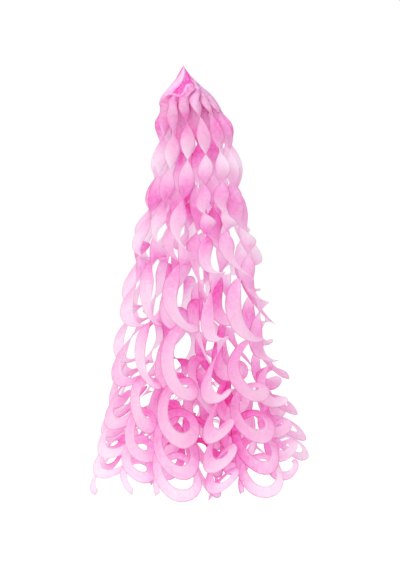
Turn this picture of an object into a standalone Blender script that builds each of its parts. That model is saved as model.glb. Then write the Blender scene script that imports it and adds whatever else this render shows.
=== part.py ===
"""A hanging tassel of twirled tissue paper.

Two round sheets of tissue are die-cut: each keeps a whole middle, and the rest becomes spiral arms.
The sheets are laid on each other, pinched up at the centre into a pleated peak and hung from it,
so the arms drop out of the pleats and twist as they fall: steep and narrow under the peak, where
they carry what hangs below, and in wide loops at their free ends. The outer sheet's arms make a
ring of coils, wide and narrow by turns, and the inner sheet's arms fill it. They start nearly in
step and fall out of step on the way down. Every coil has a round room of its own, as seen from
above, so none touches.

The origin is the tip of the peak, where the tassel is held. +Z is up and -Y is the front.
Lengths are metres, and a depth is measured down from the tip.
"""

import math
import random

import bmesh
import bpy
from mathutils import Vector

# The cut
TISSUE_THICKNESS = 0.0003
STRIP_WIDTH_AT_HEM = 0.0275
STRIP_WIDTH_AT_FOOT = 0.026
OUTER_ARMS = 14
INNER_ARMS = 7
TAIL_WIDTH_SHARE = 0.45
TAIL_LENGTH = 0.05

# The pinched peak
PEAK_SLOPE = 0.80
SHOULDER_SHARPNESS = 6
HEM_DEPTH = 0.080
PLEATS = 14
PLEAT_DEPTH_SHARE = 0.14
PLEAT_VARIATION = 0.4
PINCH_TWIST_DEG = 50
SHEET_DROP = 0.0040
PEAK_ROW_SHARES = (0.13, 0.30, 0.50, 0.72, 0.88, 1.0)

# The ring of outer coils, which widens down the tassel
RING_RADIUS_AT_HEM = 0.060
RING_SPREAD = 0.120
RING_ROUNDING = 0.15
RING_SPAN = 0.70
LEAN_UNDER_PEAK = 0.022
LEAN_AT_FOOT = 0.012

# The inner sheet, as shares of the outer one's sizes: its arms' ring, and its peak's wall
INNER_RING_SHARE = 0.50
INNER_PEAK_SHARE = 0.62

# The fall of an arm
WIDE_COIL_SHARE = 0.60
ROOM_BETWEEN = 0.003
TAPER_LENGTH = 0.036
NECK_SHARE = 0.25
OUTER_FIRST_TURN = 0.09
INNER_FIRST_TURN = -0.16
FIRST_PITCH = 0.150
PITCH_RATIO = 0.92
STACK_LENGTH = 0.20
STACK_TURNS = 1.8
FOOT_DEPTH = 0.834
LOOP_TILT_DEG = 20
LOOP_CANT_DEG = 48
LOOSENED_FROM_DEPTH = 0.12
LOOSENED_FULL_DEPTH = 0.50

# How much one arm differs from the next
PHASE_VARIATION_DEG = 12
OUT_OF_STEP_TURNS = 0.5
IN_STEP_DOWN_TO = 0.16
OUT_OF_STEP_FROM = 0.45
COIL_VARIATION = 0.15
TILT_VARIATION = 0.5
TILT_SWING_DEG = 50
FOOT_VARIATION = 0.014
SEED = 7

# How finely the tissue is faceted
ROW_TWIST_DEG = 49
TAPER_ROWS = 4

PAPER_COLOUR = (0.93, 0.40, 0.68, 1.0)
PAPER_ROUGHNESS = 0.75


class Cut:
    """How one sheet is cut and hung."""

    def __init__(self, name, arms, first_azimuth, first_turn, ring_share, wide_share, peak_share, drop):
        self.name = name
        self.arms = arms
        self.first_azimuth = first_azimuth
        self.first_turn = first_turn
        self.ring_share = ring_share
        self.wide_share = wide_share
        self.peak_share = peak_share
        self.drop = drop


CUTS = (
    Cut("outer_tissue_sheet", OUTER_ARMS, 0.0, OUTER_FIRST_TURN, 1.0, WIDE_COIL_SHARE, 1.0, 0.0),
    Cut(
        "inner_tissue_sheet", INNER_ARMS, math.tau / OUTER_ARMS, INNER_FIRST_TURN,
        INNER_RING_SHARE, 0.5, INNER_PEAK_SHARE, SHEET_DROP,
    ),
)


def eased(share):
    """0 to 1 with a soft start and end."""
    t = min(max(share, 0.0), 1.0)
    return t * t * (3 - 2 * t)


def lean(depth):
    """How far the tassel's middle hangs to the right of the tip."""
    below_peak = LEAN_UNDER_PEAK * eased(depth / (2 * HEM_DEPTH))
    return below_peak + LEAN_AT_FOOT * eased((depth - RING_SPAN / 2) / (RING_SPAN / 2))


def ring_radius(depth):
    """Radius of the ring on which the outer coils hang."""
    t = max(depth - HEM_DEPTH, 0.0) / RING_SPAN
    return RING_RADIUS_AT_HEM + RING_SPREAD * (t + RING_ROUNDING * t * (1 - t))


def peak_radius(cut, depth):
    """Mean radius of the pinched peak: a cone that turns over a soft shoulder into the hem."""
    cone = max(PEAK_SLOPE * depth, 1e-6)
    wall = ring_radius(depth) * cut.peak_share
    power = SHOULDER_SHARPNESS
    return (cone**-power + wall**-power) ** (-1 / power)


def pleat_heights():
    """How far the ridges stand out and the valleys fall in, by turns, as shares of the peak's radius.

    Both sheets have the same, so they nest.
    """
    chance = random.Random(SEED)
    heights = []
    for i in range(2 * PLEATS):
        outwards = -1 if i % 2 else 1
        heights.append(PLEAT_DEPTH_SHARE * outwards * (1 + PLEAT_VARIATION * chance.uniform(-1, 1)))
    return heights


def pleat(azimuth):
    """How far the pleats stand out at this azimuth, as a share of the peak's radius."""
    heights = pleat_heights()
    along = azimuth / math.tau * len(heights)
    before = math.floor(along + 1e-6)
    share = (1 - math.cos(math.pi * (along - before))) / 2
    return heights[before % len(heights)] * (1 - share) + heights[(before + 1) % len(heights)] * share


def peak_point(cut, azimuth, depth):
    """A point of the pleated peak, or of the hem carried on below it."""
    radius = peak_radius(cut, depth) * (1 + pleat(azimuth))
    if depth <= 0:
        radius = 0.0
    turn = azimuth + math.radians(PINCH_TWIST_DEG) * (1 - min(depth / HEM_DEPTH, 1.0)) ** 2
    return Vector((lean(depth) + radius * math.cos(turn), radius * math.sin(turn), -depth - cut.drop))


class Arm:
    """One spiral arm of a sheet, hung from the hem."""

    def __init__(self, cut, number, chance):
        self.cut = cut
        self.azimuth = cut.first_azimuth + number * math.tau / cut.arms
        self.share_of_room = 1 - cut.wide_share if number % 2 else cut.wide_share
        self.phase = math.pi / 2 + math.radians(PHASE_VARIATION_DEG) * chance.uniform(-1, 1)
        self.out_of_step = OUT_OF_STEP_TURNS * chance.uniform(-1, 1)
        self.coil_share = 1 - COIL_VARIATION * chance.random()
        self.tilt = math.radians(LOOP_TILT_DEG) * (1 + TILT_VARIATION * chance.uniform(-1, 1))
        self.tilt_towards = self.azimuth + math.radians(TILT_SWING_DEG) * chance.uniform(-1, 1)
        self.fall = FOOT_DEPTH - HEM_DEPTH + FOOT_VARIATION * chance.uniform(-1, 1)

    def turns(self, drop):
        """Turns made this far below the hem.

        Each turn's pitch is PITCH_RATIO of the one above, because it carries less, and the last
        turns stack closer still.
        """
        begun = self.cut.first_turn * eased(drop / TAPER_LENGTH)
        hung = math.log(1 - drop * (1 - PITCH_RATIO) / FIRST_PITCH) / math.log(PITCH_RATIO)
        stack = max(HEM_DEPTH + drop - FOOT_DEPTH + STACK_LENGTH, 0.0) / STACK_LENGTH
        strayed = eased((HEM_DEPTH + drop - IN_STEP_DOWN_TO) / (OUT_OF_STEP_FROM - IN_STEP_DOWN_TO))
        return begun + hung + STACK_TURNS * stack**2 + self.out_of_step * strayed

    def drop_at(self, turns):
        """The drop at which the arm has made these turns."""
        low, high = 0.0, self.fall
        for _ in range(40):
            middle = (low + high) / 2
            if self.turns(middle) < turns:
                low = middle
            else:
                high = middle
        return high

    def strip_width(self, drop):
        return STRIP_WIDTH_AT_HEM + (STRIP_WIDTH_AT_FOOT - STRIP_WIDTH_AT_HEM) * drop / self.fall

    def half_width(self, drop):
        """Half the strip's width: it narrows in a round at the tail."""
        left = max(self.fall - drop, 0.0)
        rounding = math.sqrt(1 - (1 - min(left / TAIL_LENGTH, 1.0)) ** 2)
        return self.strip_width(drop) / 2 * (TAIL_WIDTH_SHARE + (1 - TAIL_WIDTH_SHARE) * rounding)

    def loosened(self, drop):
        """0 where the strip hangs taut, and 1 where it curls freely."""
        depth = HEM_DEPTH + drop
        return eased((depth - LOOSENED_FROM_DEPTH) / (LOOSENED_FULL_DEPTH - LOOSENED_FROM_DEPTH))

    def coil_radius(self, drop):
        """Radius of the coil's middle line, which leaves the strip's edge inside the coil's own room."""
        ring = ring_radius(HEM_DEPTH + drop) * self.cut.ring_share
        spacing = 2 * ring * math.sin(math.pi / self.cut.arms)
        share = 0.5 + (self.share_of_room - 0.5) * drop / (FOOT_DEPTH - HEM_DEPTH)
        half_width = self.strip_width(drop) / 2 * math.cos(math.radians(LOOP_CANT_DEG) * self.loosened(drop))
        return max(spacing * share - ROOM_BETWEEN / 2 - half_width, 0.0) * self.coil_share

    def coil_point(self, drop, across):
        """A point of the hanging spiral. across runs from -1 at one edge of the strip to 1 at the other."""
        depth = HEM_DEPTH + drop
        angle = self.azimuth + self.phase + math.tau * self.turns(drop)
        cant = math.radians(LOOP_CANT_DEG) * self.loosened(drop)
        edge = across * self.half_width(drop)
        reach = self.coil_radius(drop) * eased(drop / TAPER_LENGTH) + edge * math.cos(cant)
        fallen = reach * math.cos(angle - self.tilt_towards) * math.tan(self.tilt * self.loosened(drop))
        ring = ring_radius(depth) * self.cut.ring_share
        return Vector((
            lean(depth) + ring * math.cos(self.azimuth) + reach * math.cos(angle),
            ring * math.sin(self.azimuth) + reach * math.sin(angle),
            -depth - self.cut.drop - edge * math.sin(cant) - fallen,
        ))

    def point(self, drop, across):
        """A point of the arm: the hem's own surface at the top, which draws in to become the strip."""
        half_sector = math.pi / self.cut.arms
        t = min(drop / TAPER_LENGTH, 1.0)
        drawn_in = t * (2 - t)
        across *= 1 - NECK_SHARE * 4 * t * (1 - t)
        hem = peak_point(self.cut, self.azimuth + across * half_sector, HEM_DEPTH + drop)
        return hem.lerp(self.coil_point(drop, across), drawn_in)

    def drops(self):
        """The rows of the arm, from just below the hem to its tail."""
        rows = [TAPER_LENGTH * (i + 1) / TAPER_ROWS for i in range(TAPER_ROWS)]
        step = ROW_TWIST_DEG / 360
        turn = self.turns(rows[-1]) + step
        while turn < self.turns(self.fall) - step / 2:
            rows.append(self.drop_at(turn))
            turn += step
        return rows + [self.fall]


def join_rows(mesh, upper, lower):
    """Faces between two rows of vertices that may differ in number."""
    i = j = 0
    while i < len(upper) - 1 or j < len(lower) - 1:
        next_upper = (i + 1) / (len(upper) - 1)
        next_lower = (j + 1) / (len(lower) - 1)
        if abs(next_upper - next_lower) < 1e-9:
            mesh.faces.new((upper[i], lower[j], lower[j + 1], upper[i + 1]))
            i += 1
            j += 1
        elif next_upper < next_lower:
            mesh.faces.new((upper[i], lower[j], upper[i + 1]))
            i += 1
        else:
            mesh.faces.new((upper[i], lower[j], lower[j + 1]))
            j += 1


def add_peak(mesh, cut, first_azimuth):
    """The pinched middle of a sheet. Returns its hem, a closed row of vertices."""
    columns = 2 * PLEATS
    tip = mesh.verts.new(peak_point(cut, 0.0, 0.0))
    above = None
    for share in PEAK_ROW_SHARES:
        row = [
            mesh.verts.new(peak_point(cut, first_azimuth + math.tau * i / columns, share * HEM_DEPTH))
            for i in range(columns)
        ]
        for i in range(columns):
            after = (i + 1) % columns
            if above is None:
                mesh.faces.new((tip, row[i], row[after]))
            else:
                mesh.faces.new((above[i], row[i], row[after], above[after]))
        above = row
    return above


def add_arm(mesh, arm, hem):
    """The spiral that hangs from its stretch of the hem."""
    above = hem
    for number, drop in enumerate(arm.drops()):
        across = (-1, 0, 1) if number < TAPER_ROWS else (-1, 1)
        row = [mesh.verts.new(arm.point(drop, share)) for share in across]
        join_rows(mesh, above, row)
        above = row


def tissue_material():
    material = bpy.data.materials.new("pink_tissue_paper")
    material.use_nodes = True
    shader = material.node_tree.nodes["Principled BSDF"]
    shader.inputs["Base Color"].default_value = PAPER_COLOUR
    shader.inputs["Roughness"].default_value = PAPER_ROUGHNESS
    shader.inputs["Metallic"].default_value = 0.0
    return material


def make_sheet(cut, material, chance):
    """One die-cut sheet: its pinched middle and its arms, thickened into a thin solid."""
    sector = math.tau / cut.arms
    columns_per_arm = 2 * PLEATS // cut.arms
    mesh = bmesh.new()
    hem = add_peak(mesh, cut, cut.first_azimuth - sector / 2)
    for i in range(cut.arms):
        start = i * columns_per_arm
        stretch = [hem[(start + k) % len(hem)] for k in range(columns_per_arm + 1)]
        add_arm(mesh, Arm(cut, i, chance), stretch)
    bmesh.ops.recalc_face_normals(mesh, faces=mesh.faces)
    data = bpy.data.meshes.new(cut.name)
    mesh.to_mesh(data)
    mesh.free()
    data.materials.append(material)
    data.shade_smooth()
    sheet = bpy.data.objects.new(cut.name, data)
    bpy.context.scene.collection.objects.link(sheet)
    wall = sheet.modifiers.new("tissue", "SOLIDIFY")
    wall.thickness = TISSUE_THICKNESS
    wall.offset = 0.0
    return sheet


def main():
    for old in list(bpy.data.objects):
        bpy.data.objects.remove(old)
    chance = random.Random(SEED)
    material = tissue_material()
    for cut in CUTS:
        make_sheet(cut, material, chance)


main()
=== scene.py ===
"""A hanging tassel of twirled tissue paper, as it looks.

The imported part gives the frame. Its two die-cut sheets are made again here, finer: with a folded cap
and creased pleats in the pinched peak, crinkled strips with fluttering cut edges, and dyed tissue that
lets light through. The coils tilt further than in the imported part, so that they show as open loops, and
the whole hangs less evenly. The origin is the tip of the peak, +Z is up and -Y is the front. Lengths
are metres, angles are radians unless a name says degrees, and a depth is measured down from the tip.
"""

import math
import random

import bmesh
import bpy
from bpy.props import FloatProperty, FloatVectorProperty, PointerProperty
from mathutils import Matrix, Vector, noise


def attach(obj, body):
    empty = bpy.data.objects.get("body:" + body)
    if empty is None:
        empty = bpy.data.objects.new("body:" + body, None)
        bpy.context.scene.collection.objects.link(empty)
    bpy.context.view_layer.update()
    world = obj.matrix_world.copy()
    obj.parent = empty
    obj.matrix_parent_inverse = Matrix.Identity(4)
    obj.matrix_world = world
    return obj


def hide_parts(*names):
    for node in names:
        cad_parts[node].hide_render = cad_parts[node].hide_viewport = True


bl_info = {
    "name": "Tissue Twirl Tassel",
    "version": (1, 0, 0),
    "blender": (4, 5, 0),
    "location": "3D View > Sidebar > Tassel",
    "description": "Makes a hanging tassel of twirled tissue paper and a plain studio round it",
    "category": "Add Mesh",
}

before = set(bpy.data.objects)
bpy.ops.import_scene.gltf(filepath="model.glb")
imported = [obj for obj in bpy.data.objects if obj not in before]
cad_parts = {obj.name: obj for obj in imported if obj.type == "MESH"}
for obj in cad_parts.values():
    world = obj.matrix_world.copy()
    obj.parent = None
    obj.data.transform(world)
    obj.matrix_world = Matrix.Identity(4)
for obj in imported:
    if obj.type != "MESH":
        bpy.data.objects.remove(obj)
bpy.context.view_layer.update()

# The cut: how many arms each sheet has, and how a strip rounds off at its tail
OUTER_ARMS = 14
INNER_ARMS = 7
TAIL_WIDTH_SHARE = 0.45
TAIL_LENGTH = 0.05

# The pinched peak
PEAK_SLOPE = 0.80
SHOULDER_SHARPNESS = 6
HEM_DEPTH = 0.080
PLEATS = 14
PLEAT_DEPTH_SHARE = 0.14
PLEAT_VARIATION = 0.4
PINCH_TWIST_DEG = 50
SHEET_DROP = 0.0040

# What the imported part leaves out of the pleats: how much tighter the tip is twisted, a pleat's sharpness
# in its valley, how far its ridge laps over the valley beside it, and how unevenly the pleats gather
TIP_TIGHTNESS = 0.30
PLEAT_SHARPNESS = 2.2
PLEAT_LAP = 1.5
LAP_QUICKNESS = 1.6
PLEAT_DRIFT = 0.7
DRIFT_CELLS = 1.3
DRIFT_SPOT = 4.4

# Small pleats on the wide ones, deepest on the right. The mean keeps the peak as wide as without them
SMALL_PLEATS = 21
SMALL_PLEAT_SHARE = 0.09
SMALL_PLEAT_POWER = 0.7
SMALL_PLEAT_MEAN = 0.7
SMALL_PLEAT_MIDDLE = 0.6
SMALL_PLEAT_TO_RIGHT = 0.4

# Creases finer than the pleats, long down the peak and narrow round it
CREASE_SHARE = 0.05
CREASE_CELLS = 6.5
CREASE_CELLS_DOWN = 22
CREASED_DOWN_TO = 1.35

# The cap at the very top: three smooth folds, with a slanting, wavy edge from which the pleats spring
CAP_DEPTH = 0.051
CAP_SLANT = 0.0205
CAP_WAVE = 0.018
CAP_WAVE_CELLS = 2.2
CAP_WAVE_SPOT = 1.7
CAP_EDGE = 0.005
CAP_STEP = 0.07
CAP_FOLDS = 3
CAP_FOLD_START = 1.9
CAP_FOLD_TWIST = 40
CAP_FOLD_SHARE = 0.08
CAP_PLEAT_SHARE = 0.15

# How many layers of tissue lie on each other in the peak all over, and the painted shade added as more
# layers: in a valley, where a pleat springs from under the cap, and in the low folds of the cap. It thins
# out towards the hem
ARM_LAYERS = 0.9
PEAK_LAYERS = 1.5
PAINTED_VALLEY_SHADE = 9.0
VALLEY_SHADE_STARTS = 0.15
PAINTED_ROOT_SHADE = 5.0
ROOT_SHADE_LENGTH = 0.011
PAINTED_CAP_SHADE = 8.0
CAP_SHADE_MIDDLE = 0.5
CAP_SHADE_STEEPNESS = 9
GATHERED_DOWN_TO = 0.7
GATHERED_FADE = 0.6

# The ring of outer coils, the lean of the tassel, and the inner sheet as shares of the outer one's sizes
RING_RADIUS_AT_HEM = 0.060
RING_SPREAD = 0.120
RING_ROUNDING = 0.15
RING_SPAN = 0.70
LEAN_UNDER_PEAK = 0.022
LEAN_AT_FOOT = 0.012
INNER_RING_SHARE = 0.50
INNER_PEAK_SHARE = 0.62
INNER_FIRST_AZIMUTH = 0.34

# The fall of an arm: its room beside its neighbours, its turns, and how its loops loosen and tilt
WIDE_COIL_SHARE = 0.60
ROOM_BETWEEN = 0.003
TAPER_LENGTH = 0.036
WIDEST_AT = 0.25
NECK_SHARE = 0.12
OUTER_FIRST_TURN = -0.01
INNER_FIRST_TURN = -0.26
FIRST_PITCH = 0.150
PITCH_RATIO = 0.92
STACK_LENGTH = 0.20
STACK_TURNS = 1.8
FOOT_DEPTH = 0.819
LOOP_TILT_DEG = 43
TILT_TO_FRONT = 0.5
LOOP_CANT_DEG = 18
LOOSENED_FROM_DEPTH = 0.12
LOOSENED_FULL_DEPTH = 0.50

# How much one arm differs from the next
PHASE_VARIATION_DEG = 12
OUT_OF_STEP_TURNS = 0.5
IN_STEP_DOWN_TO = 0.16
OUT_OF_STEP_FROM = 0.45
COIL_VARIATION = 0.06
TILT_VARIATION = 0.2
TILT_SWING_DEG = 72
FOOT_VARIATION = 0.014
SEED = 7

# How many layers of tissue each sheet shows as: the inner one stands for all that hangs inside
OUTER_LAYERS = 0.86
INNER_LAYERS = 1.55

# What doubles or halves those layers on an arm, as powers of two: clouds along the strip, painted light on
# the outside of a coil, how much deeper the painted shade on its inside is, and a deepening towards the foot
LAYER_VARIATION = 1.5
LAYER_CLOUD = 0.07
LAYER_CLOUD_ACROSS = 0.35
PAINTED_COIL_OUTSIDE_LIGHT = -1.1
PAINTED_COIL_INSIDE_SHADE = 2.05
FOOT_DEEPENING = 0.4
FOOT_DEEPENING_FROM = 0.6
FOOT_DEEPENING_FADE = 0.3

# How the whole tassel hangs unevenly: slow swings and quicker ones, as wavelengths and amplitudes
SWINGS = ((0.26, 0.016), (0.10, 0.009))
SWING_OFFSET = (3.7, 0.5, 0.3)
SWING_AXES_APART = 11.3
SWING_FADE = 0.25

# A flare at the foot, and a waist that sits a little to the right
FOOT_FLARE = 0.035
FLARE_FROM_DEPTH = 0.55
WAIST_SHARE = 0.05
WAIST_SHIFT = 0.005
WAIST_FULL_DEPTH = 0.24
WAIST_DOWN_TO = 0.28
WAIST_FADE = 0.25

# Crinkles all over and a flutter at cut edges: noise cells to a metre, and how far in the flutter reaches
CRINKLE_CELLS = 75
FINE_CRINKLE_CELLS = 160
FINE_CRINKLE_SHARE = 0.5
CRINKLE_SHARE = 0.8
CRINKLED_FROM_DEPTH = 0.05
FLUTTER_CELLS = 32
FLUTTER_SPOT = (3.1, 0.7, 5.2)
FLUTTER_REACH = 0.011

# How finely the tissue is faceted, and how often a search for a depth halves what is left
PEAK_ROWS = 44
COLUMNS_PER_PLEAT = 22
TAPER_ROWS = 10
ROW_TWIST_DEG = 12
STRIP_COLUMNS = 8
HALVINGS = 40

# The studio: where each lamp stands, what it faces and how wide it is, then the floor and the camera
KEY_LAMP = ((-1.4, -2.2, 0.9), (0.02, 0.0, -0.43), 2.2)
PEAK_LAMP = ((-0.35, -1.0, 0.2), (0.0, 0.0, -0.14), 0.6)
FLOOR_SIZE = 12.0
FLOOR_LIFT = 0.5
CAMERA_TARGET = (0.034, 0.0, -0.451)
CAMERA_DISTANCE = 1.9
CAMERA_ELEVATION_DEG = 5
CAMERA_LENS = 57.4


def linear(code):
    """A colour for the shader from an sRGB hex value such as #FED8EF."""
    shares = [int(code[i:i + 2], 16) / 255 for i in (1, 3, 5)]
    return tuple(s / 12.92 if s <= 0.04045 else ((s + 0.055) / 1.055) ** 2.4 for s in shares)


class TasselShape(bpy.types.PropertyGroup):
    """Sizes of the tassel that a maker would change."""

    width_at_hem: FloatProperty(
        name="Strip Width at Hem", description="Width of a cut strip where it leaves the peak",
        default=0.0275, min=0.01, max=0.04, unit="LENGTH",
    )
    width_in_middle: FloatProperty(
        name="Strip Width in Middle", description="Width of a cut strip where it is widest", default=0.032,
        min=0.01, max=0.04, unit="LENGTH",
    )
    width_at_foot: FloatProperty(
        name="Strip Width at Foot", description="Width of a cut strip near its tail", default=0.017,
        min=0.01, max=0.04, unit="LENGTH",
    )
    drawn_thickness: FloatProperty(
        name="Drawn Thickness", description="Thickness that the tissue is drawn with", default=0.0003,
        min=0.0001, max=0.001, unit="LENGTH",
    )
    crinkle_height: FloatProperty(
        name="Crinkle Height", description="How far the crinkles stand out", default=0.0009, min=0.0,
        max=0.003, unit="LENGTH",
    )
    flutter: FloatProperty(
        name="Edge Flutter", description="How far a cut edge waves to and fro", default=0.0016, min=0.0,
        max=0.004, unit="LENGTH",
    )


class TissueFinish(bpy.types.PropertyGroup):
    """Colours of the dyed tissue."""

    paper_colour: FloatVectorProperty(
        name="Paper", description="Colour from the front of one of the two skins that draw a layer",
        default=linear("#FFEEFC"), size=3, min=0.0, max=1.0, subtype="COLOR",
    )
    through_colour: FloatVectorProperty(
        name="Light Through", description="Colour of the light that one of those two skins lets through",
        default=linear("#FFEAFB"), size=3, min=0.0, max=1.0, subtype="COLOR",
    )
    edge_colour: FloatVectorProperty(
        name="Cut Edge", description="Colour along a cut edge and in a crease", default=linear("#F58CC8"),
        size=3, min=0.0, max=1.0, subtype="COLOR",
    )


class TasselStudio(bpy.types.PropertyGroup):
    """The light and the floor."""

    surrounding_light: FloatProperty(
        name="Surrounding Light", description="Strength of the light from all round", default=0.80, min=0.0,
        max=2.0,
    )
    key_power: FloatProperty(
        name="Key Light", description="Power of the soft lamp in front", default=15.0, min=0.0,
        max=500.0, unit="POWER",
    )
    peak_power: FloatProperty(
        name="Peak Light", description="Power of the soft lamp near the peak", default=4.2, min=0.0,
        max=100.0, unit="POWER",
    )
    floor_depth: FloatProperty(
        name="Floor Depth", description="How far the floor lies under the tip", default=1.25, min=0.9,
        max=3.0, unit="LENGTH",
    )
    floor_colour: FloatVectorProperty(
        name="Floor", description="Colour of the floor", default=linear("#DCDCDC"), size=3, min=0.0, max=1.0,
        subtype="COLOR",
    )


def eased(share):
    """0 to 1 with a soft start and end."""
    t = min(max(share, 0.0), 1.0)
    return t * t * (3 - 2 * t)


def noise_round(azimuth, cells, level):
    """Smooth noise that meets itself all round the tassel.

    It is read along a circle that has this many noise cells in its radius, at this level of the noise.
    """
    return noise.noise(Vector((cells * math.cos(azimuth), cells * math.sin(azimuth), level)))


def pinched(depth):
    """1 at the tip of the peak, and 0 from the hem down."""
    return 1 - min(depth / HEM_DEPTH, 1.0)


def twisted(azimuth, depth):
    """Where the twist of the pinched peak turns an azimuth to."""
    return azimuth + math.radians(PINCH_TWIST_DEG) * pinched(depth) ** 2


def lean(depth):
    """How far the tassel's middle hangs to the right of the tip."""
    below_peak = LEAN_UNDER_PEAK * eased(depth / (2 * HEM_DEPTH))
    return below_peak + LEAN_AT_FOOT * eased((depth - RING_SPAN / 2) / (RING_SPAN / 2))


def ring_radius(depth):
    """Radius of the ring on which the outer coils hang."""
    t = max(depth - HEM_DEPTH, 0.0) / RING_SPAN
    return RING_RADIUS_AT_HEM + RING_SPREAD * (t + RING_ROUNDING * t * (1 - t))


class Cut:
    """How one sheet is cut and hung."""

    def __init__(self, arms, first_azimuth, first_turn, ring_share, wide_share, peak_share, drop, layers):
        self.arms = arms
        self.layers = layers
        self.first_azimuth = first_azimuth
        self.first_turn = first_turn
        self.ring_share = ring_share
        self.wide_share = wide_share
        self.peak_share = peak_share
        self.drop = drop

    def peak_radius(self, depth):
        """Mean radius of the pinched peak: a cone that turns over a soft shoulder into the hem."""
        tightened = 1 - TIP_TIGHTNESS * (1 - eased(depth / HEM_DEPTH))
        cone = max(PEAK_SLOPE * depth * tightened, 1e-6)
        wall = ring_radius(depth) * self.peak_share
        power = SHOULDER_SHARPNESS
        return (cone**-power + wall**-power) ** (-1 / power)

    def below_cap(self, azimuth, depth):
        """How far below the slanting edge of the cap this is: less than 0 on the cap itself."""
        turned = twisted(azimuth, depth)
        wave = CAP_WAVE * noise_round(turned, CAP_WAVE_CELLS, CAP_WAVE_SPOT)
        return depth - CAP_DEPTH + CAP_SLANT * math.cos(turned) + wave

    def folded(self, azimuth, depth):
        """How far the pleats stand out here. They gather unevenly, and the cap has few of them."""
        shift = PLEAT_DRIFT * noise_round(azimuth, DRIFT_CELLS, DRIFT_SPOT) * eased(2 * pinched(depth))
        drifted = azimuth + shift
        small = abs(math.sin(SMALL_PLEATS * drifted)) ** SMALL_PLEAT_POWER - SMALL_PLEAT_MEAN
        towards_right = SMALL_PLEAT_MIDDLE + SMALL_PLEAT_TO_RIGHT * math.cos(azimuth)
        small *= SMALL_PLEAT_SHARE * eased(3 * pinched(depth)) * towards_right
        pleated = eased(self.below_cap(azimuth, depth) / CAP_EDGE)
        wide = pleat(drifted) + small
        capped = CAP_FOLD_SHARE * math.sin(CAP_FOLDS * azimuth + CAP_FOLD_START + CAP_FOLD_TWIST * depth)
        capped += CAP_PLEAT_SHARE * wide
        return pleated * wide + (1 - pleated) * (capped + CAP_STEP)

    def peak_layers_and_shade(self, azimuth, depth):
        """How many layers of tissue lie on each other here, one on a ridge, with painted shade added as more
        layers in a valley, under the cap's edge and in its low folds.
        """
        gathered = 1 - eased((depth / HEM_DEPTH - GATHERED_DOWN_TO) / GATHERED_FADE)
        under = self.below_cap(azimuth, depth)
        folded = self.folded(azimuth, depth)
        # Painted shade: pleat valleys, the roots of pleats just under the cap's edge, and the cap's low
        # folds are counted as more layers
        valley_shade = min(max(-VALLEY_SHADE_STARTS - folded / PLEAT_DEPTH_SHARE, 0.0), 1.0)
        root_shade = math.exp(-max(under, 0.0) / ROOT_SHADE_LENGTH) * eased(under / CAP_EDGE)
        shaded = min(max(CAP_SHADE_MIDDLE - CAP_SHADE_STEEPNESS * (folded - CAP_STEP), 0.0), 1.0)
        cap_shade = eased(-under / CAP_EDGE) * shaded
        more = gathered * (PEAK_LAYERS + PAINTED_VALLEY_SHADE * valley_shade) + PAINTED_ROOT_SHADE * root_shade
        more += PAINTED_CAP_SHADE * cap_shade
        return self.layers * (ARM_LAYERS + more)

    def peak_point(self, azimuth, depth):
        """A point of the pleated peak, or of the hem carried on below it."""
        if depth <= 0:
            return Vector((0.0, 0.0, -self.drop))
        folded = self.folded(azimuth, depth)
        radius = self.peak_radius(depth) * (1 + folded + crease(azimuth, depth))
        turn = twisted(azimuth, depth) + PLEAT_LAP * folded * eased(pinched(depth) * LAP_QUICKNESS)
        return Vector((lean(depth) + radius * math.cos(turn), radius * math.sin(turn), -depth - self.drop))


def pleat_heights():
    """How far the ridges stand out and the valleys fall in, by turns, as shares of the peak's radius."""
    chance = random.Random(SEED)
    heights = []
    for i in range(2 * PLEATS):
        outwards = -1 if i % 2 else 1
        heights.append(PLEAT_DEPTH_SHARE * outwards * (1 + PLEAT_VARIATION * chance.uniform(-1, 1)))
    return heights


PLEAT_HEIGHTS = pleat_heights()


def pleat(azimuth):
    """How far the pleats stand out at this azimuth: rounded on a ridge and sharp in a valley."""
    count = len(PLEAT_HEIGHTS)
    along = azimuth / math.tau * count
    before = math.floor(along)
    ridge, valley = (before + 1, before) if before % 2 else (before, before + 1)
    fallen = abs(along - ridge) ** PLEAT_SHARPNESS
    return PLEAT_HEIGHTS[ridge % count] * (1 - fallen) + PLEAT_HEIGHTS[valley % count] * fallen


def crease(azimuth, depth):
    """How far the small folds between the pleats stand out here."""
    fold = noise_round(azimuth, CREASE_CELLS, CREASE_CELLS_DOWN * depth)
    return CREASE_SHARE * fold * eased((CREASED_DOWN_TO * HEM_DEPTH - depth) / HEM_DEPTH)


def drift(place):
    """A smooth random direction and size that is the same each time for the same place."""
    first = place + Vector(SWING_OFFSET)
    return Vector([noise.noise(first + Vector((0.0, SWING_AXES_APART * axis, 0.0))) for axis in range(3)])


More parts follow.
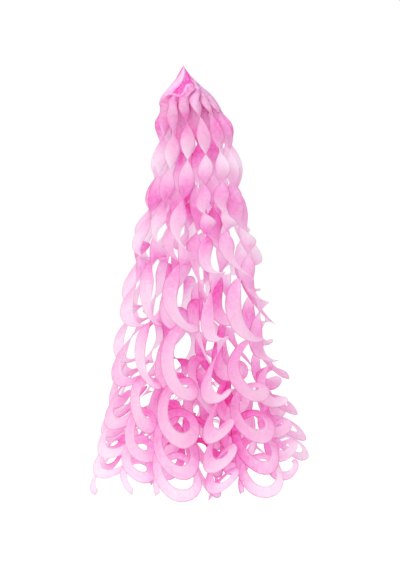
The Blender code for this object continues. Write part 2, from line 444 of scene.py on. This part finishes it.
class Arm:
    """One spiral arm of a sheet, hung from the hem."""

    def __init__(self, cut, number, shape, chance):
        self.cut = cut
        self.shape = shape
        self.azimuth = cut.first_azimuth + number * math.tau / cut.arms
        self.share_of_room = 1 - cut.wide_share if number % 2 else cut.wide_share
        self.phase = math.pi / 2 + math.radians(PHASE_VARIATION_DEG) * chance.uniform(-1, 1)
        self.out_of_step = OUT_OF_STEP_TURNS * chance.uniform(-1, 1)
        self.coil_share = 1 - COIL_VARIATION * chance.random()
        self.tilt = math.radians(LOOP_TILT_DEG) * (1 + TILT_VARIATION * chance.uniform(-1, 1))
        from_front = (self.azimuth + math.pi / 2 + math.pi) % math.tau - math.pi
        outwards = (1 - TILT_TO_FRONT) * from_front - math.pi / 2
        self.tilt_towards = outwards + math.radians(TILT_SWING_DEG) * chance.uniform(-1, 1)
        self.fall = FOOT_DEPTH - HEM_DEPTH + FOOT_VARIATION * chance.uniform(-1, 1)
        self.spot = Vector((3.7 * number, 5.3 * cut.arms, 0.0))

    def layers(self, drop, across):
        """How many layers of tissue cling together here, cloudy all the way, with painted shade deepest
        inside a coil, painted light on its outside, and deeper towards the foot.
        """
        at_hem = self.cut.peak_layers_and_shade(self.azimuth + across * math.pi / self.cut.arms, HEM_DEPTH + drop)
        cloud = noise.noise(self.spot + Vector((LAYER_CLOUD_ACROSS * across, 0.0, drop / LAYER_CLOUD)))
        # Painted shade on the inside of each coil and painted light on its outside
        coil_shade_and_foot = PAINTED_COIL_INSIDE_SHADE * (1 - math.cos(self.angle(drop) - self.azimuth)) / 2 + PAINTED_COIL_OUTSIDE_LIGHT
        # Deeper towards the foot
        coil_shade_and_foot += FOOT_DEEPENING * eased((drop / self.fall - FOOT_DEEPENING_FROM) / FOOT_DEEPENING_FADE)
        return at_hem * 2 ** ((LAYER_VARIATION * cloud + coil_shade_and_foot) * eased(drop / TAPER_LENGTH))

    def turns(self, drop):
        """Turns made this far below the hem: ever closer, as the strip carries less, and closest last."""
        begun = self.cut.first_turn * eased(drop / TAPER_LENGTH)
        hung = math.log(1 - drop * (1 - PITCH_RATIO) / FIRST_PITCH) / math.log(PITCH_RATIO)
        stack = max(HEM_DEPTH + drop - FOOT_DEPTH + STACK_LENGTH, 0.0) / STACK_LENGTH
        strayed = eased((HEM_DEPTH + drop - IN_STEP_DOWN_TO) / (OUT_OF_STEP_FROM - IN_STEP_DOWN_TO))
        return begun + hung + STACK_TURNS * stack**2 + self.out_of_step * strayed

    def drop_at(self, turns):
        """The drop at which the arm has made these turns."""
        low, high = 0.0, self.fall
        for _ in range(HALVINGS):
            middle = (low + high) / 2
            if self.turns(middle) < turns:
                low = middle
            else:
                high = middle
        return high

    def strip_width(self, drop):
        """The strip widens below the hem, and narrows again to the foot."""
        down = drop / self.fall
        shape = self.shape
        wider = (shape.width_in_middle - (shape.width_at_hem + shape.width_at_foot) / 2)
        straight = shape.width_at_hem + (shape.width_at_foot - shape.width_at_hem) * down
        return straight + wider * eased(down / WIDEST_AT) * eased((1 - down) / (1 - WIDEST_AT))

    def half_width(self, drop):
        """Half the strip's width: it narrows in a round at the tail."""
        left = max(self.fall - drop, 0.0)
        rounding = math.sqrt(1 - (1 - min(left / TAIL_LENGTH, 1.0)) ** 2)
        return self.strip_width(drop) / 2 * (TAIL_WIDTH_SHARE + (1 - TAIL_WIDTH_SHARE) * rounding)

    def loosened(self, drop):
        """0 where the strip hangs taut, and 1 where it curls freely."""
        depth = HEM_DEPTH + drop
        return eased((depth - LOOSENED_FROM_DEPTH) / (LOOSENED_FULL_DEPTH - LOOSENED_FROM_DEPTH))

    def coil_radius(self, drop):
        """Radius of the coil's middle line, which leaves the strip's edge inside the coil's own room."""
        ring = ring_radius(HEM_DEPTH + drop) * self.cut.ring_share
        spacing = 2 * ring * math.sin(math.pi / self.cut.arms)
        share = 0.5 + (self.share_of_room - 0.5) * drop / (FOOT_DEPTH - HEM_DEPTH)
        half_width = self.strip_width(drop) / 2 * math.cos(math.radians(LOOP_CANT_DEG) * self.loosened(drop))
        return max(spacing * share - ROOM_BETWEEN / 2 - half_width, 0.0) * self.coil_share

    def angle(self, drop):
        """Which way the coil's middle line lies from the coil's axis."""
        return self.azimuth + self.phase + math.tau * self.turns(drop)

    def coil_point(self, drop, across):
        """A point of the hanging spiral. across runs from -1 at one edge of the strip to 1 at the other."""
        depth = HEM_DEPTH + drop
        angle = self.angle(drop)
        cant = math.radians(LOOP_CANT_DEG) * self.loosened(drop)
        edge = across * self.half_width(drop)
        reach = self.coil_radius(drop) * eased(drop / TAPER_LENGTH) + edge * math.cos(cant)
        fallen = reach * math.cos(angle - self.tilt_towards) * math.tan(self.tilt * self.loosened(drop))
        ring = ring_radius(depth) * self.cut.ring_share
        return Vector((
            lean(depth) + ring * math.cos(self.azimuth) + reach * math.cos(angle),
            ring * math.sin(self.azimuth) + reach * math.sin(angle),
            -depth - self.cut.drop - edge * math.sin(cant) - fallen,
        ))

    def point(self, drop, across):
        """A point of the arm: the hem's own surface at the top, which draws in to become the strip."""
        half_sector = math.pi / self.cut.arms
        t = min(drop / TAPER_LENGTH, 1.0)
        drawn_in = t * (2 - t)
        across *= 1 - NECK_SHARE * 4 * t * (1 - t)
        hem = self.cut.peak_point(self.azimuth + across * half_sector, HEM_DEPTH + drop)
        return hem.lerp(self.coil_point(drop, across), drawn_in)

    def drops(self):
        """The rows of the arm, from just below the hem to its tail."""
        rows = [TAPER_LENGTH * (i + 1) / TAPER_ROWS for i in range(TAPER_ROWS)]
        step = ROW_TWIST_DEG / 360
        turn = self.turns(rows[-1]) + step
        while turn < self.turns(self.fall) - step / 2:
            rows.append(self.drop_at(turn))
            turn += step
        return rows + [self.fall]


class SheetMesh:
    """The middle surface of a sheet, with what the tissue's finish reads at each point.

    place is where the point lies on the tissue, on a cylinder as wide as the hem, so that it meets
    itself all round and has real lengths. edge is the distance to the nearest cut edge. layers says
    how many layers of tissue cling together there, with painted shade counted in as more layers in the
    peak's valleys and folds and inside the coils.
    """

    def __init__(self):
        self.mesh = bmesh.new()
        self.place = self.mesh.verts.layers.float_vector.new("tissue_place")
        self.edge = self.mesh.verts.layers.float.new("edge_distance")
        self.layers = self.mesh.verts.layers.float.new("tissue_layers_and_painted_shade")

    def add_point(self, at, azimuth, along, edge, layers):
        vertex = self.mesh.verts.new(at)
        wide = RING_RADIUS_AT_HEM
        vertex[self.place] = Vector((wide * math.cos(azimuth), wide * math.sin(azimuth), -along))
        vertex[self.edge] = edge
        vertex[self.layers] = layers
        return vertex

    def join_rows(self, upper, lower):
        """Faces between two rows of vertices that may differ in number."""
        i = j = 0
        while i < len(upper) - 1 or j < len(lower) - 1:
            next_upper = (i + 1) / (len(upper) - 1)
            next_lower = (j + 1) / (len(lower) - 1)
            if abs(next_upper - next_lower) < 1e-9:
                self.mesh.faces.new((upper[i], lower[j], lower[j + 1], upper[i + 1]))
                i += 1
                j += 1
            elif next_upper < next_lower:
                self.mesh.faces.new((upper[i], lower[j], upper[i + 1]))
                i += 1
            else:
                self.mesh.faces.new((upper[i], lower[j], lower[j + 1]))
                j += 1

    def add_peak(self, cut, first_azimuth):
        """The pinched middle of a sheet. Returns its hem, a closed row of vertices."""
        columns = COLUMNS_PER_PLEAT * PLEATS
        sector = math.tau / cut.arms
        above = [self.add_point(cut.peak_point(0.0, 0.0), 0.0, 0.0, HEM_DEPTH, cut.layers)]
        for number in range(PEAK_ROWS):
            depth = HEM_DEPTH * (number + 1) / PEAK_ROWS
            row = []
            for i in range(columns):
                azimuth = first_azimuth + math.tau * i / columns
                from_slit = abs((azimuth - first_azimuth + sector / 2) % sector - sector / 2)
                edge = math.hypot(from_slit * RING_RADIUS_AT_HEM, HEM_DEPTH - depth)
                layers = cut.peak_layers_and_shade(azimuth, depth)
                row.append(self.add_point(cut.peak_point(azimuth, depth), azimuth, depth, edge, layers))
            for i in range(columns):
                after = (i + 1) % columns
                if len(above) == 1:
                    self.mesh.faces.new((above[0], row[i], row[after]))
                else:
                    self.mesh.faces.new((above[i], row[i], row[after], above[after]))
            above = row
        return above

    def add_arm(self, arm, hem):
        """The spiral that hangs from its stretch of the hem."""
        above = hem
        along = HEM_DEPTH
        last = None
        for number, drop in enumerate(arm.drops()):
            columns = len(hem) - 1 if number < TAPER_ROWS else STRIP_COLUMNS
            middle = arm.point(drop, 0.0)
            along += (middle - last).length if last else drop
            last = middle
            wide = arm.half_width(drop)
            row = []
            for i in range(columns + 1):
                across = 2 * i / columns - 1
                azimuth = arm.azimuth + across * wide / RING_RADIUS_AT_HEM
                edge = (1 - abs(across)) * wide
                layers = arm.layers(drop, across)
                row.append(self.add_point(arm.point(drop, across), azimuth, along, edge, layers))
            self.join_rows(above, row)
            above = row

    def swing(self):
        """Moves all the strips that hang near each other together, so that the rows of coils break up."""
        for vertex in self.mesh.verts:
            depth = -vertex.co.z
            hangs = eased((depth - HEM_DEPTH) / SWING_FADE)
            flare = 1 + FOOT_FLARE * eased((depth - FLARE_FROM_DEPTH) / (FOOT_DEPTH - FLARE_FROM_DEPTH))
            move = Vector()
            for wavelength, amplitude in SWINGS:
                move += amplitude * drift(vertex.co / wavelength)
            middle = lean(depth)
            waist = eased(depth / WAIST_FULL_DEPTH) * (1 - eased((depth - WAIST_DOWN_TO) / WAIST_FADE))
            flare -= WAIST_SHARE * waist
            vertex.co.x = middle + (vertex.co.x - middle) * flare + WAIST_SHIFT * waist
            vertex.co.y *= flare
            vertex.co += hangs * move

    def crinkle(self, shape):
        """Moves the points off the smooth surface: crinkles all over, and a flutter at cut edges."""
        self.mesh.normal_update()
        moves = []
        for vertex in self.mesh.verts:
            place = vertex[self.place]
            fine = noise.noise(place * CRINKLE_CELLS)
            fine += FINE_CRINKLE_SHARE * noise.noise(place * FINE_CRINKLE_CELLS)
            wave = noise.noise(place * FLUTTER_CELLS + Vector(FLUTTER_SPOT))
            near_edge = 1 - eased(vertex[self.edge] / FLUTTER_REACH)
            begins = eased(-place.z / CRINKLED_FROM_DEPTH)
            moves.append(vertex.normal * begins * (
                shape.crinkle_height * fine * CRINKLE_SHARE + shape.flutter * near_edge * wave))
        for vertex, move in zip(self.mesh.verts, moves):
            vertex.co += move

    def finished(self, name, shape, material):
        """The sheet as an object, thickened into a closed skin."""
        bmesh.ops.recalc_face_normals(self.mesh, faces=self.mesh.faces)
        self.swing()
        self.crinkle(shape)
        data = bpy.data.meshes.new(name)
        self.mesh.to_mesh(data)
        self.mesh.free()
        data.materials.append(material)
        data.shade_smooth()
        sheet = bpy.data.objects.new(name, data)
        bpy.context.scene.collection.objects.link(sheet)
        skin = sheet.modifiers.new("tissue", "SOLIDIFY")
        skin.thickness = shape.drawn_thickness
        skin.offset = 0.0
        return sheet


def add_node(tree, kind, settings=None, links=None):
    """Adds a node. settings are its own options or its inputs' values, links feed its inputs."""
    node = tree.nodes.new(kind)
    for name, value in (settings or {}).items():
        if isinstance(name, int) or name in node.inputs:
            node.inputs[name].default_value = value
        else:
            setattr(node, name, value)
    for name, source in (links or {}).items():
        tree.links.new(source, node.inputs[name])
    return node


def tissue_paper(finish):
    """Dyed wood-pulp tissue, rolled smooth on one side.

    It is thin enough to let half the light through, so one layer is pale and each further layer
    that light has crossed is a deeper pink. Its pulp lies a little cloudy, and handling crinkles it.
    """
    name = "dyed_tissue_paper"
    if name in bpy.data.materials:
        return bpy.data.materials[name]
    material = bpy.data.materials.new(name)
    material.use_nodes = True
    tree = material.node_tree
    tree.nodes.clear()
    place = add_node(tree, "ShaderNodeAttribute", {"attribute_name": "tissue_place"}).outputs["Vector"]
    edge = add_node(tree, "ShaderNodeAttribute", {"attribute_name": "edge_distance"}).outputs["Fac"]
    layers = add_node(tree, "ShaderNodeAttribute", {"attribute_name": "tissue_layers_and_painted_shade"}).outputs["Fac"]
    # Clouds in the pulp, about 7 mm across
    pulp = add_node(tree, "ShaderNodeTexNoise", {"Scale": 140.0, "Detail": 3.0, "Roughness": 0.6},
                    {"Vector": place}).outputs["Fac"]
    # Handling creases: the thin lines where a slow noise passes its middle, about 14 mm apart
    folds = add_node(tree, "ShaderNodeTexNoise", {"Scale": 70.0, "Detail": 1.5, "Distortion": 0.6},
                     {"Vector": place}).outputs["Fac"]
    off_line = add_node(tree, "ShaderNodeMath", {"operation": "SUBTRACT", 1: 0.5}, {0: folds}).outputs[0]
    off_line = add_node(tree, "ShaderNodeMath", {"operation": "ABSOLUTE"}, {0: off_line}).outputs[0]
    creased = add_node(tree, "ShaderNodeMapRange", {"From Min": 0.0, "From Max": 0.045, "To Min": 1.0,
                                                    "To Max": 0.0}, {"Value": off_line}).outputs[0]
    # Fibres are 20 microns wide, too fine to show, so they are drawn 1 mm wide
    fibres = add_node(tree, "ShaderNodeTexNoise", {"Scale": 900.0, "Detail": 1.0},
                      {"Vector": place}).outputs["Fac"]
    # A cut edge shows as a line a little over 1 mm wide
    edge_line = add_node(tree, "ShaderNodeMapRange", {"From Min": 0.0, "From Max": 0.0016, "To Min": 0.55,
                                                      "To Max": 0.0}, {"Value": edge}).outputs[0]
    cloud = add_node(tree, "ShaderNodeMapRange", {"From Min": 0.35, "From Max": 0.65, "To Min": 0.0,
                                                  "To Max": 0.14}, {"Value": pulp}).outputs[0]
    dye = add_node(tree, "ShaderNodeMath", {"operation": "MULTIPLY_ADD", 1: 0.12},
                   {0: creased, 2: cloud}).outputs[0]
    dye = add_node(tree, "ShaderNodeMath", {"operation": "ADD", "use_clamp": True},
                   {0: dye, 1: edge_line}).outputs[0]
    seen = add_node(tree, "ShaderNodeMix", {"data_type": "RGBA", 6: (*finish.paper_colour, 1.0),
                                            7: (*finish.edge_colour, 1.0)}, {0: dye}).outputs[2]
    # The layer count also carries painted shade: the peak's valleys, the cap and the insides of coils come
    # out a deeper pink, and the outsides of coils paler
    seen = add_node(tree, "ShaderNodeGamma", None, {"Color": seen, "Gamma": layers}).outputs[0]
    through = add_node(tree, "ShaderNodeMix", {"data_type": "RGBA", 6: (*finish.through_colour, 1.0),
                                               7: (*finish.edge_colour, 1.0)}, {0: dye}).outputs[2]
    through = add_node(tree, "ShaderNodeGamma", None, {"Color": through, "Gamma": layers}).outputs[0]
    relief = add_node(tree, "ShaderNodeMath", {"operation": "MULTIPLY_ADD", 1: 0.25},
                      {0: fibres, 2: creased}).outputs[0]
    relief = add_node(tree, "ShaderNodeMath", {"operation": "MULTIPLY_ADD", 1: 0.8},
                      {0: pulp, 2: relief}).outputs[0]
    bump = add_node(tree, "ShaderNodeBump", {"Strength": 0.5, "Distance": 0.0006},
                    {"Height": relief}).outputs["Normal"]
    front = add_node(tree, "ShaderNodeBsdfPrincipled", {"Roughness": 0.68, "Specular IOR Level": 0.3,
                                                        "IOR": 1.45},
                     {"Base Color": seen, "Normal": bump}).outputs["BSDF"]
    back = add_node(tree, "ShaderNodeBsdfTranslucent", None,
                    {"Color": through, "Normal": bump}).outputs["BSDF"]
    # Gathered tissue in the peak throws back more of its light, and lets less through
    height = add_node(tree, "ShaderNodeSeparateXYZ", None, {0: place}).outputs["Z"]
    sheer = add_node(tree, "ShaderNodeMapRange", {"From Min": -0.11, "From Max": -0.05, "To Min": 0.80,
                                                  "To Max": 0.15}, {"Value": height}).outputs[0]
    paper = add_node(tree, "ShaderNodeMixShader", None, {0: sheer, 1: front, 2: back}).outputs["Shader"]
    add_node(tree, "ShaderNodeOutputMaterial", None, {"Surface": paper})
    return material


def make_sheet(context, name, node, cut, chance):
    """One die-cut sheet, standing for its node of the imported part."""
    shape = context.scene.tassel_shape
    sector = math.tau / cut.arms
    columns_per_arm = COLUMNS_PER_PLEAT * PLEATS // cut.arms
    sheet = SheetMesh()
    hem = sheet.add_peak(cut, cut.first_azimuth - sector / 2)
    for i in range(cut.arms):
        start = i * columns_per_arm
        stretch = [hem[(start + k) % len(hem)] for k in range(columns_per_arm + 1)]
        sheet.add_arm(Arm(cut, i, shape, chance), stretch)
    made = sheet.finished(name, shape, tissue_paper(context.scene.tissue_finish))
    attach(made, "root")
    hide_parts(node)
    return made


class TASSEL_OT_sheets(bpy.types.Operator):
    """Make the outer and the inner sheet of the tassel"""

    bl_idname = "tassel.make_sheets"
    bl_label = "Make Tissue Sheets"

    def execute(self, context):
        chance = random.Random(SEED)
        outer_cut = Cut(arms=OUTER_ARMS, first_azimuth=0.0, first_turn=OUTER_FIRST_TURN, ring_share=1.0,
                        wide_share=WIDE_COIL_SHARE, peak_share=1.0, drop=0.0, layers=OUTER_LAYERS)
        inner_cut = Cut(arms=INNER_ARMS, first_azimuth=INNER_FIRST_AZIMUTH, first_turn=INNER_FIRST_TURN,
                        ring_share=INNER_RING_SHARE, wide_share=0.5, peak_share=INNER_PEAK_SHARE,
                        drop=SHEET_DROP, layers=INNER_LAYERS)
        outer = make_sheet(context, "outer_twirl_sheet", "outer_tissue_sheet", outer_cut, chance)
        inner = make_sheet(context, "inner_twirl_sheet", "inner_tissue_sheet", inner_cut, chance)
        return {"FINISHED"}


class TASSEL_OT_studio(bpy.types.Operator):
    """Make the floor, the light and the camera"""

    bl_idname = "tassel.make_studio"
    bl_label = "Make Studio"

    def execute(self, context):
        studio = context.scene.tassel_studio
        make_floor(studio)
        make_world(context.scene, studio)
        make_lamp(context, "key_lamp", *KEY_LAMP, studio.key_power)
        make_lamp(context, "peak_lamp", *PEAK_LAMP, studio.peak_power)
        make_camera(context)
        context.scene.view_settings.view_transform = "Standard"
        return {"FINISHED"}


def camera_sees(tree):
    """1 for a ray that shows the background to the camera, straight or by a gloss or through glass."""
    path = add_node(tree, "ShaderNodeLightPath").outputs
    seen = add_node(tree, "ShaderNodeMath", {"operation": "MAXIMUM"},
                    {0: path["Is Camera Ray"], 1: path["Is Glossy Ray"]}).outputs[0]
    return add_node(tree, "ShaderNodeMath", {"operation": "MAXIMUM"},
                    {0: seen, 1: path["Is Transmission Ray"]}).outputs[0]


def make_world(scene, studio):
    """White as the camera sees it, and a plain even light from all round."""
    world = bpy.data.worlds.new("white_studio")
    scene.world = world
    world.use_nodes = True
    tree = world.node_tree
    tree.nodes.clear()
    strength = add_node(tree, "ShaderNodeMapRange", {"To Min": studio.surrounding_light, "To Max": 1.0},
                        {"Value": camera_sees(tree)}).outputs[0]
    light = add_node(tree, "ShaderNodeBackground", {"Color": (1.0, 1.0, 1.0, 1.0)}, {"Strength": strength})
    add_node(tree, "ShaderNodeOutputWorld", None, {"Surface": light.outputs[0]})


def make_floor(studio):
    """A plain pale floor well under the tails. It is lifted to white for the camera and keeps its shadow."""
    bpy.ops.object.select_all(action="DESELECT")
    bpy.ops.mesh.primitive_plane_add(size=FLOOR_SIZE, location=(0.0, 0.0, -studio.floor_depth))
    floor = bpy.context.object
    floor.name = "studio_floor"
    material = bpy.data.materials.new("painted_studio_floor")
    material.use_nodes = True
    tree = material.node_tree
    tree.nodes.clear()
    lift = add_node(tree, "ShaderNodeMath", {"operation": "MULTIPLY", 1: FLOOR_LIFT},
                    {0: camera_sees(tree)}).outputs[0]
    paint = add_node(tree, "ShaderNodeBsdfDiffuse", {"Color": (*studio.floor_colour, 1.0)}).outputs[0]
    glow = add_node(tree, "ShaderNodeEmission", None, {"Strength": lift}).outputs[0]
    shown = add_node(tree, "ShaderNodeAddShader", None, {0: paint, 1: glow}).outputs[0]
    add_node(tree, "ShaderNodeOutputMaterial", None, {"Surface": shown})
    floor.data.materials.append(material)


def aimed(at, target):
    """The turn that points a lamp or camera from one place to another."""
    return (Vector(target) - Vector(at)).to_track_quat("-Z", "Y").to_euler()


def make_lamp(context, name, at, target, width, power):
    """A square soft lamp that faces a place on the tassel."""
    data = bpy.data.lights.new(name, "AREA")
    data.size = width
    data.energy = power
    lamp = bpy.data.objects.new(name, data)
    lamp.location = at
    lamp.rotation_euler = aimed(at, target)
    context.scene.collection.objects.link(lamp)


def make_camera(context):
    """A camera a little above the middle of the tassel, as in the photograph."""
    data = bpy.data.cameras.new("camera")
    camera = bpy.data.objects.new("camera", data)
    elevation = math.radians(CAMERA_ELEVATION_DEG)
    target = Vector(CAMERA_TARGET)
    camera.location = target + CAMERA_DISTANCE * Vector((0.0, -math.cos(elevation), math.sin(elevation)))
    camera.rotation_euler = aimed(camera.location, target)
    data.lens = CAMERA_LENS
    context.scene.collection.objects.link(camera)
    context.scene.camera = camera


class TASSEL_PT_maker(bpy.types.Panel):
    """Lists the tassel's sizes, colours and makers"""

    bl_label = "Tissue Twirl Tassel"
    bl_space_type = "VIEW_3D"
    bl_region_type = "UI"
    bl_category = "Tassel"

    def draw(self, context):
        scene = context.scene
        groups = (
            ("Sheets", scene.tassel_shape, TasselShape, "tassel.make_sheets"),
            ("Tissue", scene.tissue_finish, TissueFinish, None),
            ("Studio", scene.tassel_studio, TasselStudio, "tassel.make_studio"),
        )
        for title, settings, group, maker in groups:
            box = self.layout.box()
            box.label(text=title)
            for name in group.__annotations__:
                box.prop(settings, name)
            if maker:
                box.operator(maker)


CLASSES = (TasselShape, TissueFinish, TasselStudio, TASSEL_OT_sheets, TASSEL_OT_studio, TASSEL_PT_maker)


def register():
    for each in CLASSES:
        bpy.utils.register_class(each)
    bpy.types.Scene.tassel_shape = PointerProperty(type=TasselShape)
    bpy.types.Scene.tissue_finish = PointerProperty(type=TissueFinish)
    bpy.types.Scene.tassel_studio = PointerProperty(type=TasselStudio)


def unregister():
    del bpy.types.Scene.tassel_studio
    del bpy.types.Scene.tissue_finish
    del bpy.types.Scene.tassel_shape
    for each in reversed(CLASSES):
        bpy.utils.unregister_class(each)


def main():
    register()
    bpy.ops.tassel.make_sheets()
    bpy.ops.tassel.make_studio()


if __name__ == "__main__":
    main()
